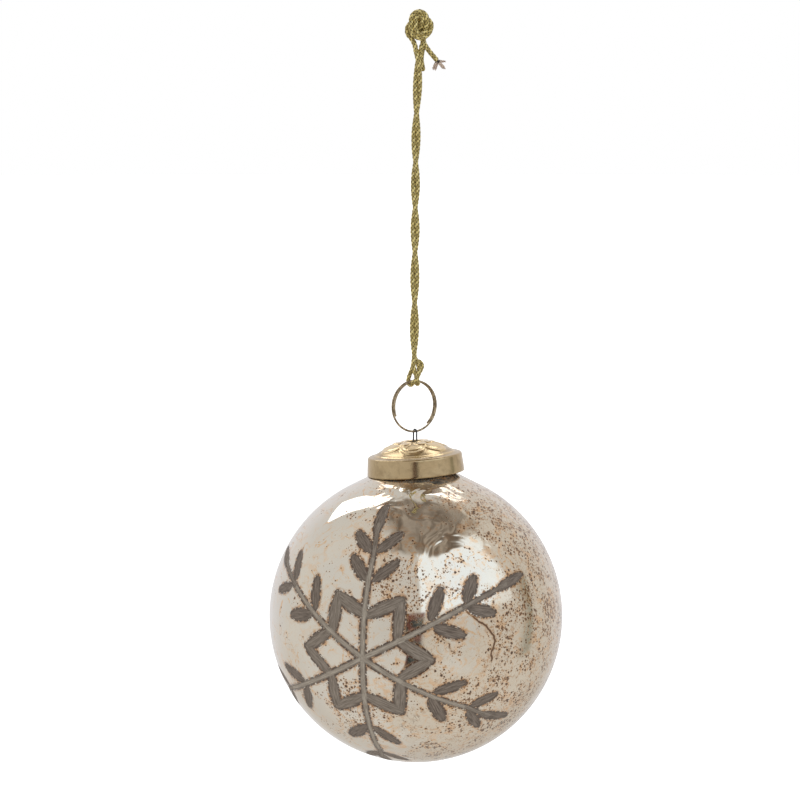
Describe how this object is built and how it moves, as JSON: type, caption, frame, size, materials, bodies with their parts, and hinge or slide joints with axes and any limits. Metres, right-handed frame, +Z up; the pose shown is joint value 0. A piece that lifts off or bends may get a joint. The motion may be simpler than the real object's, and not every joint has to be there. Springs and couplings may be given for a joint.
{
  "type": "glass ball ornament",
  "caption": "Hanging mirrored glass ball with an engraved snow crystal, stamped cap, spring wire hanger, split ring and knotted twisted cord.",
  "frame": {"origin": "between the two strands of the cord just under its top knot, where a hook carries the ornament", "axes": "+Z up along the hanging ornament, front of the ball towards -Y, +X to the right seen from the front"},
  "size_m": [0.1016, 0.1016, 0.261],
  "materials": {
    "mirrored_glass": "mirror coated inside, mottled with warm patina, engraved lines matt",
    "cap_metal": "satin stamped sheet",
    "spring_wire": "blackened",
    "ring_wire": "antique",
    "cord": "braided metallic thread"
  },
  "bodies": {
    "cord": {"cord_hitch": "cord", "cord_twist": "cord", "cord_loop": "cord", "cord_knot": "cord", "cord_tail_long": "cord", "cord_tail_short": "cord"},
    "ring": {"split_ring": "ring_wire"},
    "hanger": {"spring_hanger": "spring_wire"},
    "cap": {"cap": "cap_metal"},
    "ball": {"glass_ball": "mirrored_glass"}
  },
  "joints": [
    {"name": "ring_swing", "type": "hinge", "parent": "cord", "child": "ring", "pos_m": [-0.00139, -0.00038, -0.11545], "axis": [0.8387, 0.5446, 0], "range_deg": [-60, 60]},
    {"name": "hanger_swing", "type": "hinge", "parent": "ring", "child": "hanger", "pos_m": [-0.00139, -0.00038, -0.13295], "axis": [0.8387, 0.5446, 0], "range_deg": [-80, 80]},
    {"name": "cap_turn", "type": "hinge", "parent": "hanger", "child": "cap", "pos_m": [-0.0008, 0, -0.1473], "axis": [-0.0697, -0.0174, 0.9974], "continuous": true},
    {"name": "ball_pull_off", "type": "slide", "parent": "hanger", "child": "ball", "axis": [0, 0, -1], "range_m": [0, 0.03]}
  ]
}
